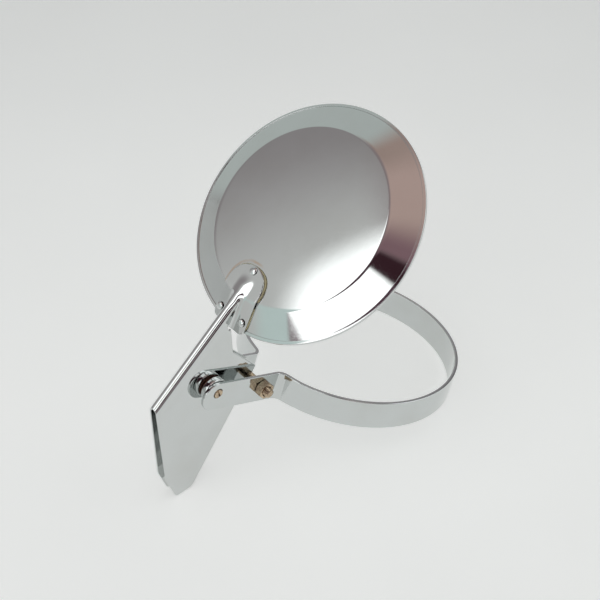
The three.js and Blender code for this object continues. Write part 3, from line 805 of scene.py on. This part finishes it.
def tab_gasket():
    """A thin layer between the tab and the shell, following the shell's back."""
    half = TAB_HALF_WIDTH + GASKET_OVERHANG
    inner_radius = half - 0.01
    inner_x = TAB_INNER_X + GASKET_OVERHANG
    outline = rounded([
        (GASKET_OUTER_X, -half, 3),
        (inner_x, -half, inner_radius),
        (inner_x, half, inner_radius),
        (GASKET_OUTER_X, half, 3),
    ], 12)
    rings = 24
    centre = Vector((TAB_INNER_X - TAB_HALF_WIDTH, 0))
    count = len(outline)
    verts = []
    for height in (GAP, GAP + GASKET):
        for k in range(rings + 1):
            for spot in outline:
                x, y = centre.lerp(Vector(spot), k / rings)
                verts.append((x, y, dish_height(math.hypot(x, y)) + height))
    faces = []
    layer = (rings + 1) * count
    for i in range(count):
        j = (i + 1) % count
        for base in (0, layer):
            for k in range(rings):
                a = base + k * count
                faces.append((a + i, a + j, a + count + j, a + count + i))
        a = rings * count
        faces.append((a + i, a + j, layer + a + j, layer + a + i))
    return merged_mesh(verts, faces)


def rivet():
    """A domed head with a thin flat rim, a shank and a low formed tail inside."""
    head = GAP + GASKET + GAP + SHEET + GAP
    tail = -SHELL - GAP
    tail_radius = RIVET_HEAD_RADIUS - 0.3
    points = [
        (0, tail - 0.6),
        (tail_radius - 0.3, tail - 0.6),
        (tail_radius - 0.05, tail - 0.4),
        (tail_radius, tail),
        (RIVET_RADIUS, tail),
        (RIVET_RADIUS, head),
        (RIVET_HEAD_RADIUS - 0.08, head),
        (RIVET_HEAD_RADIUS, head + 0.08),
    ]
    for i in range(9):
        a = math.pi / 2 * i / 8
        points.append((RIVET_HEAD_RADIUS * math.cos(a), head + 0.2 + RIVET_DOME * math.sin(a)))
    return lathe(points, 48, closed=False)


def on_back(x, y):
    """A place on the shell's back with Z square to it."""
    radius = math.hypot(x, y)
    slope = dish_height(radius + 0.5) - dish_height(radius - 0.5)
    normal = Vector((-slope * x / radius, -slope * y / radius, 1))
    turn = Vector((0, 0, 1)).rotation_difference(normal).to_matrix().to_4x4()
    return HEAD @ Matrix.Translation((x, y, dish_height(radius))) @ turn


# ------------------------------------------------------------------------------ band clamp

BEND_STEPS = 16
RING_STEPS = 120
END_STEPS = 32


def strap_path():
    """The strap's outer face in plan, from the rear leg's bend round the ring to the front's."""
    bend_y = LEG_OUTSIDE + BEND_RADIUS
    bend_x = -math.sqrt((BAND_RADIUS + BEND_RADIUS) ** 2 - bend_y ** 2)
    meet = math.atan2(bend_y, -bend_x)
    points = []
    for i in range(BEND_STEPS + 1):
        a = -math.pi / 2 + (math.pi / 2 - meet) * i / BEND_STEPS
        points.append((bend_x + BEND_RADIUS * math.cos(a), bend_y + BEND_RADIUS * math.sin(a)))
    for i in range(1, RING_STEPS + 1):
        a = (math.pi - meet) * (1 - i / RING_STEPS)
        points.append((BAND_RADIUS * math.cos(a), BAND_RADIUS * math.sin(a)))
    return points + [(x, -y) for x, y in points[-2::-1]]


def risen(x, z):
    """Turns a leg up about the ring's mid plane, through a gentle curve."""
    first = RISE_CENTRE_X + RISE_LENGTH / 2
    run = first - x
    if run <= 0:
        return (x, z)
    bent = min(run, RISE_LENGTH)
    angle = LEG_RISE * bent / RISE_LENGTH
    curve = RISE_LENGTH / LEG_RISE
    rest = run - bent
    new_x = first - curve * math.sin(angle) - rest * math.cos(angle) + z * math.sin(angle)
    new_z = curve * (1 - math.cos(angle)) + rest * math.sin(angle) + z * math.cos(angle)
    return (new_x, new_z)


def clamp_band():
    """The outer face of the strap as one open surface, then its thickness."""
    verts = []
    faces = []
    half = BAND_WIDTH / 2
    rows = 6

    def place(x, y, z):
        """Adds a point, turned up with its leg, and gives its number."""
        new_x, new_z = risen(x, z)
        verts.append((new_x, y, new_z))
        return len(verts) - 1

    path = strap_path()
    heights = [-half + BAND_WIDTH * k / rows for k in range(rows + 1)]
    grid = [[place(x, y, z) for z in heights] for x, y in path]
    for left, right in zip(grid, grid[1:]):
        for k in range(rows):
            faces.append([left[k], left[k + 1], right[k + 1], right[k]])

    bend_x = path[0][0]
    end_x = RISE_CENTRE_X - LEG_REACH + half
    pivot = (RISE_CENTRE_X - PIVOT_REACH, PIVOT_LIFT)
    bolt = (RISE_CENTRE_X - BOLT_REACH, BOLT_LIFT)
    for side, column in ((1, grid[0]), (-1, grid[-1])):
        y = side * LEG_OUTSIDE
        steps = [bend_x + (RISE_CENTRE_X - RISE_LENGTH - bend_x) * i / 6 for i in range(1, 7)]
        loop = list(column)
        loop += [place(x, y, half) for x in steps]
        for i in range(END_STEPS + 1):
            a = math.pi / 2 + math.pi * i / END_STEPS
            loop.append(place(end_x + half * math.cos(a), y, half * math.sin(a)))
        loop += [place(x, y, -half) for x in steps[::-1]]
        screw = PIVOT_BORE if side > 0 else PIVOT_HEAD_RADIUS + GAP
        pivot_hole = [place(x, y, z) for x, z in circle(*pivot, screw)]
        bolt_hole = [place(x, y, z) for x, z in circle(*bolt, BOLT_RADIUS + GAP)]
        leg_end = len(column) + len(steps) + END_STEPS // 2
        faces += halves(loop, [bolt_hole, pivot_hole], leg_end, rows // 2)

    on_ring = ((BAND_RADIUS, 0, 0), (1, 0, 0))
    return sheet_metal(merged_mesh(verts, faces, on_ring), BAND, BAND_EDGE)


# ------------------------------------------------------------------------------ fasteners

def threaded(radius, depth, pitch, low, high, thread_low, thread_high, chamfer):
    """A rod about Z with a real helical thread between two heights, which fades out over one
    pitch where it stops short of the rod's end."""
    around = 40
    per_turn = 10
    count = max(2, round((high - low) / pitch * per_turn))
    heights = [low + (high - low) * i / count for i in range(count + 1)]
    verts = [(0, 0, low)]
    for z in heights:
        ease = 1
        if thread_low > low:
            ease = smoothstep(z, thread_low, thread_low + pitch)
        if thread_high < high:
            ease = min(ease, 1 - smoothstep(z, thread_high - pitch, thread_high))
        for i in range(around):
            turn = TAU * i / around
            phase = (z / pitch - i / around) % 1
            groove = min(1, max(0, 1.25 - 2.5 * abs(phase - 0.5)))
            edge = min(z - low, high - z)
            r = radius - depth * ease * groove - max(0, chamfer - edge)
            verts.append((r * math.cos(turn), r * math.sin(turn), z))
    verts.append((0, 0, high))
    faces = []
    for i in range(around):
        j = (i + 1) % around
        faces.append((0, 1 + i, 1 + j))
        last = 1 + count * around
        faces.append((len(verts) - 1, last + i, last + j))
        for k in range(count):
            a = 1 + k * around
            faces.append((a + i, a + j, a + around + j, a + around + i))
    return merged_mesh(verts, faces)


def hexagon(across_flats, low, high, bore=0):
    """A nut with a chamfer at both ends, or without a bore a bolt's dished head with a chamfer at
    its high end. The chamfer cuts the flats in arcs."""
    flat = across_flats / 2
    around = 96
    countersink = 0.4
    dish = 0.15
    heights = [0, 0.12, 0.24, 0.38, 0.55, 0.8]
    levels = [low + h for h in heights] + [high - h for h in heights[::-1]]
    verts = []
    for i in range(around):
        turn = TAU * i / around
        away = (turn + math.pi / 6) % (math.pi / 3) - math.pi / 6
        corner = flat / math.cos(away)
        column = []
        for z in levels:
            depth = min(z - low, high - z) if bore else high - z
            chamfer = flat * NUT_CHAMFER_START + depth * NUT_CHAMFER_SLOPE
            column.append((min(corner, chamfer), z))
        if bore:
            column += [(bore + countersink, high), (bore, high - countersink)]
            column += [(bore, low + countersink), (bore + countersink, low)]
        else:
            column += [(flat * 0.8, high - dish), (0, high - dish), (0, low), (flat * 0.8, low)]
        verts += [(r * math.cos(turn), r * math.sin(turn), z) for r, z in column]
    count = len(levels) + 4
    faces = []
    for i in range(around):
        here = i * count
        there = (i + 1) % around * count
        for k in range(count):
            n = (k + 1) % count
            faces.append((here + k, there + k, there + n, here + n))
    return merged_mesh(verts, faces)


def joined(*meshes):
    """Several closed solids as one piece's mesh."""
    work = bmesh.new()
    for mesh in meshes:
        work.from_mesh(mesh)
    result = bpy.data.meshes.new("joined")
    work.to_mesh(result)
    work.free()
    return result


def split_washer(outer, inner, low, high):
    """A spring washer: a square wire round most of a turn, its two ends a little apart."""
    edge = 0.15
    corners = [(inner, low, edge), (outer, low, edge), (outer, high, edge), (inner, high, edge)]
    section = rounded(corners, 3)
    steps = 90
    gap = 0.16
    spring = 0.15
    verts = []
    for s in range(steps + 1):
        turn = gap / 2 + (TAU - gap) * s / steps
        lift = spring * (s / steps - 0.5)
        verts += [(r * math.cos(turn), r * math.sin(turn), h + lift) for r, h in section]
    count = len(section)
    faces = [tuple(range(count)), tuple(range(steps * count, (steps + 1) * count))]
    for s in range(steps):
        for i in range(count):
            j = (i + 1) % count
            a = s * count
            faces.append((a + i, a + j, a + count + j, a + count + i))
    return merged_mesh(verts, faces)


def pivot_screw(end):
    """A flush slotted head in the front leg, a plain shank, and a thread at the rear nut."""
    face = -LEG_OUTSIDE - PIVOT_HEAD_STANDS
    under = -LEG_OUTSIDE + BAND - 0.2
    head = lathe(rounded([
        (0, face, 0),
        (PIVOT_HEAD_RADIUS, face, 0.35),
        (PIVOT_HEAD_RADIUS, under, 0.1),
        (0, under, 0),
    ], 4), 64)
    cutter = bpy.data.meshes.new("slot")
    work = bmesh.new()
    bmesh.ops.create_cube(work, size=1)
    size = (3 * PIVOT_HEAD_RADIUS, SLOT_WIDTH, 2 * SLOT_DEPTH)
    bmesh.ops.scale(work, vec=size, verts=work.verts)
    bmesh.ops.rotate(work, matrix=Matrix.Rotation(SLOT_TURN, 3, "Z"), verts=work.verts)
    bmesh.ops.translate(work, vec=(0, 0, face), verts=work.verts)
    work.to_mesh(cutter)
    work.free()
    tool = bpy.data.objects.new("slot", cutter)
    bpy.context.scene.collection.objects.link(tool)
    cut = {"operation": "DIFFERENCE", "solver": "EXACT", "object": tool}
    slotted = finished(head, ("BOOLEAN", cut))
    bpy.data.objects.remove(tool)
    thread_low = LEG_OUTSIDE - 1
    depth, pitch, chamfer = PIVOT_THREAD
    start_z = under - 0.3
    shank = threaded(PIVOT_SCREW_RADIUS, depth, pitch, start_z, end, thread_low, end, chamfer)
    return joined(slotted, shank)


def clamp_bolt(head_high):
    """A hex head behind the rear leg and a thread that stands out of the front nut."""
    head_low = head_high - BOLT_HEAD
    head = hexagon(BOLT_FLATS, head_low, head_high)
    depth, pitch, chamfer = BOLT_THREAD
    top = head_low + 0.5
    shank = threaded(BOLT_RADIUS, depth, pitch, -BOLT_END, top, -BOLT_END, THREAD_END, chamfer)
    return joined(head, shank)


# ------------------------------------------------------------------------------ pieces

def span(node):
    """The two ends, along +Y, of a node that lies on a screw's axis."""
    low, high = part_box(node)
    return low.y / MM, high.y / MM


piece("back_shell", back_shell(), HEAD, "chrome_dish", "head")
piece("bezel_ring", bezel_ring(), HEAD, "chrome_bezel", "head", 60)
glass = convex_disc(GLASS_RADIUS, GLASS_BACK, GLASS, GLASS_BULGE, 0.25)
piece("mirror_glass", glass, HEAD, "mirror", "head")
piece("glass_seal", glass_seal(), HEAD, "seal", "head", 60)
board = convex_disc(GLASS_RADIUS - 2, GLASS_BACK + GAP + PAD, PAD, GLASS_BULGE, 0.1)
piece("backing_pad", board, HEAD, "pad", "head")
piece("arm_plate", arm_plate(), HEAD, "chrome_sheet", "head", 0)
piece("tab_gasket", tab_gasket(), HEAD, "gasket", "head")
for name, spot in RIVETS.items():
    piece(name, rivet(), on_back(*spot), "chrome_rivet", "head", 40)
sleeve = ring(SLEEVE_RADIUS, PIVOT_BORE, *span("pivot_sleeve"), 0.3, 48)
piece("pivot_sleeve", sleeve, PIVOT, "zinc", "head")

piece("clamp_band", clamp_band(), BAND_PLACE, "chrome_strap", "band", 0)
for side in ("front", "rear"):
    name = "friction_washer_" + side
    washer = ring(SPACER_RADIUS - 1, PIVOT_BORE, *span(name), 0.1, 64, 2)
    piece(name, washer, PIVOT, "fibre", "band")
    name = "pivot_spacer_" + side
    spacer = ring(SPACER_RADIUS, PIVOT_BORE, *span(name), 0.9, 96, 6)
    piece(name, spacer, PIVOT, "chrome_spacer", "band", 50)

washer = ring(PIVOT_WASHER_RADIUS, PIVOT_BORE, *span("pivot_washer"), 0.2)
piece("pivot_washer", washer, PIVOT, "zinc", "band", 50)
nut = hexagon(PIVOT_NUT_FLATS, *span("pivot_nut"), PIVOT_BORE)
piece("pivot_nut", nut, PIVOT, "zinc", "band", 25)
screw = pivot_screw(span("pivot_screw")[1])
piece("pivot_screw", screw, PIVOT, "zinc", "pivot_screw", 40)

washer = ring(CLAMP_WASHER_RADIUS, BOLT_RADIUS + GAP, *span("clamp_washer"), 0.2)
piece("clamp_washer", washer, BOLT, "zinc", "band", 50)
washer = split_washer(LOCK_WASHER_RADIUS, BOLT_RADIUS + GAP, *span("clamp_lock_washer"))
piece("clamp_lock_washer", washer, BOLT, "zinc", "band", 50)
nut = hexagon(BOLT_FLATS, *span("clamp_nut"), BOLT_RADIUS + GAP)
piece("clamp_nut", nut, BOLT, "zinc", "band", 25)
bolt = clamp_bolt(span("clamp_bolt")[1])
piece("clamp_bolt", bolt, BOLT, "zinc", "clamp_bolt", 40)


# ------------------------------------------------------------------------------ studio

def add_floor():
    """A pale sheet of studio paper with a faint unevenness, and a painted glow of light: the paper emits light,
    most strongly near the object, which fills in the shadows on it.
    """
    half = 1.6
    corners = [(-half, -half, 0), (half, -half, 0), (half, half, 0), (-half, half, 0)]
    mesh = bpy.data.meshes.new("floor")
    mesh.from_pydata(corners, [], [(0, 1, 2, 3)])
    floor = bpy.data.objects.new("floor", mesh)
    bpy.context.scene.collection.objects.link(floor)
    # Painted light: the floor's emission stands in for light and washes out the shadows cast on it.
    material, graph, out = start("floor", 0.0, Roughness=0.9, Emission_Strength=0.42)
    tone = graph.noise(5, 3, 0.5)
    paper = graph.mix(graph.range(tone, 0.3, 0.7, 0, 1), *PAPER_TONES)
    graph.put(out["Base Color"], paper)
    place = graph.add("ShaderNodeTexCoord").outputs["Object"]
    inputs = {0: place, 1: (-0.25, -0.35, 0)}
    away = graph.add("ShaderNodeVectorMath", inputs, operation="DISTANCE").outputs["Value"]
    # Painted pool of light: the glow falls from 1.08 near the object to 0.45 further out.
    fall = graph.range(away, 0.2, 1.5, 1.08, 0.45, True)
    graph.put(out["Emission Color"], graph.mix(fall, (0, 0, 0, 1), (1, 1, 0.985, 1)))
    graph.put(out["Normal"], graph.bump(graph.noise(300, 4, 0.6), 2e-5))
    mesh.materials.append(material)


def add_light():
    """A wide soft light overhead, which the chrome doesn't mirror."""
    data = bpy.data.lights.new("overhead", "AREA")
    data.shape = "DISK"
    data.size = 1.8
    data.energy = 4
    light = bpy.data.objects.new("overhead", data)
    spot = Vector((-0.5, -0.2, 1.7))
    light.location = spot
    light.rotation_euler = spot.to_track_quat("Z", "Y").to_euler()
    light.visible_glossy = False
    bpy.context.scene.collection.objects.link(light)


# The studio's tones, in linear light
SOFTBOX = (2.0, 2.02, 2.02)
SIDE_SOFTBOX = (1.6, 1.62, 1.64)
REAR_SOFTBOX = (1.3, 1.3, 1.31)
SLIT = (1.1, 1.0, 1.02)
LEFT_WALL = (0.64, 0.64, 0.63)
FRONT_WALL = (0.325, 0.30, 0.305)
RIGHT_WALL = (0.53, 0.57, 0.555)
GREEN_WALL = (0.64, 0.75, 0.73)
GREY_WALL = (0.38, 0.36, 0.37)
DARK_WALL = (0.12, 0.11, 0.12)
REAR_WALL = (0.14, 0.12, 0.13)
LEFT_CEILING = (0.26, 0.155, 0.175)
FRONT_CEILING = (0.31, 0.25, 0.255)
RIGHT_CEILING = (0.43, 0.32, 0.285)
WARM_TOP = (0.56, 0.41, 0.37)
TABLE = (0.60, 0.65, 0.64)
MAROON = (0.12, 0.05, 0.07)
DARK_BAR = (0.11, 0.06, 0.08)
NEAR_BLACK = (0.045, 0.018, 0.024)


def add_world():
    """The studio that the chrome mirrors: softboxes, dark gaps and a warm ceiling. Azimuths and
    elevations are in degrees, azimuth 0 along +Y and 90 along +X."""
    world = bpy.data.worlds.new("studio")
    bpy.context.scene.world = world
    world.use_nodes = True
    graph = Graph(world.node_tree)
    direction = graph.add("ShaderNodeTexCoord").outputs["Generated"]
    parts = graph.add("ShaderNodeSeparateXYZ", {0: direction}).outputs
    azimuth = graph.math("MULTIPLY", graph.math("ARCTAN2", parts[0], parts[1]), 180 / math.pi)
    elevation = graph.math("MULTIPLY", graph.math("ARCSINE", parts[2]), 180 / math.pi)

    def blend(value, low, high, under, over):
        """Fades from under at low to over at high."""
        if not isinstance(under, bpy.types.NodeSocket):
            under = (*under, 1)
        if not isinstance(over, bpy.types.NodeSocket):
            over = (*over, 1)
        return graph.mix(graph.range(value, low, high, 0, 1, True), under, over)

    def window(value, low, high, low_soft, high_soft):
        """1 between low and high, with an edge of its own softness at each."""
        rise = graph.range(value, low - low_soft, low + low_soft, 0, 1, True)
        fall = graph.range(value, high - high_soft, high + high_soft, 1, 0, True)
        return graph.math("MULTIPLY", rise, fall)

    def patch(colour, azimuths, elevations, *shares):
        """Paints a window of the sky, as far as each of the shares lets it."""
        nonlocal sky
        inside = graph.math("MULTIPLY", window(azimuth, *azimuths), window(elevation, *elevations))
        for share in shares:
            inside = graph.math("MULTIPLY", inside, share)
        sky = graph.mix(inside, sky, (*colour, 1))

    def above(slope, height, soft):
        """Directions above a line that climbs with azimuth from a height at azimuth 0."""
        level = graph.math("SUBTRACT", elevation, graph.math("MULTIPLY", azimuth, slope))
        return graph.range(level, height - soft, height + soft, 0, 1, True)

    def below(slope, height, soft):
        """Directions below such a line."""
        return graph.math("SUBTRACT", 1.0, above(slope, height, soft))

    walls = blend(azimuth, -52, -20, LEFT_WALL, FRONT_WALL)
    walls = blend(azimuth, -13, -3, walls, RIGHT_WALL)
    ceiling = blend(azimuth, -100, -70, LEFT_CEILING, FRONT_CEILING)
    ceiling = blend(azimuth, -10, 30, ceiling, RIGHT_CEILING)
    ceiling = blend(elevation, 64, 80, ceiling, WARM_TOP)
    sky = blend(elevation, 50, 62, walls, ceiling)
    sky = blend(elevation, -30, -10, TABLE, sky)
    patch(GREEN_WALL, (-84, -60, 1, 10), (2, 36, 2, 5))

    # The main softbox, its slanting part with a maroon edge, and a dark bar above that part
    top = below(0.167, 71.3, 1.2)
    patch(SOFTBOX, (-104, -52, 1, 5), (20, 62, 1, 4), above(0.45, 62.5, 5), top)
    patch(MAROON, (-125, -83.5, 1.5, 1.2), (5, 30, 1, 4), above(-0.413, -24.9, 0.8))
    slanting = above(-0.413, -23.7, 0.3)
    patch(SOFTBOX, (-125, -83.5, 1.5, 1.2), (5, 62, 1, 4), slanting, top, below(-0.5, -11, 2))
    patch(DARK_BAR, (-115, -87, 1, 1), (24, 62, 3, 2), above(-0.5, -12, 2))
    patch(NEAR_BLACK, (-180, -100, 1, 6), (50, 60, 0.1, 2), above(0.167, 71.8, 0.6))

    # The dark left side with one bright slit
    patch(NEAR_BLACK, (-181, -127, 0.5, 1), (2, 58, 2, 2))
    patch(SLIT, (-153, -149, 1, 1), (10, 46, 2, 2))

    # The right and the rear
    patch(SIDE_SOFTBOX, (96, 150, 2, 2), (15, 48, 1, 1))
    patch(GREY_WALL, (40, 70, 8, 2), (0, 50, 6, 6))
    patch(DARK_WALL, (62, 92, 4, 2), (0, 60, 6, 6))
    patch(REAR_WALL, (154, 181, 2, 1), (0, 60, 6, 6))
    for azimuths in ((-181, -158, 0.5, 1), (160, 181, 1, 0.5)):
        patch(REAR_SOFTBOX, azimuths, (36, 57, 1, 1))

    path = graph.add("ShaderNodeLightPath").outputs
    sky = graph.mix(path["Is Diffuse Ray"], sky, (0.26, 0.27, 0.27, 1))
    background = world.node_tree.nodes["Background"]
    graph.put(background.inputs["Color"], graph.mix(path["Is Camera Ray"], sky, (0.66, 0.67, 0.66, 1)))


add_floor()
add_light()
add_world()
bpy.context.scene.view_settings.view_transform = "Standard"
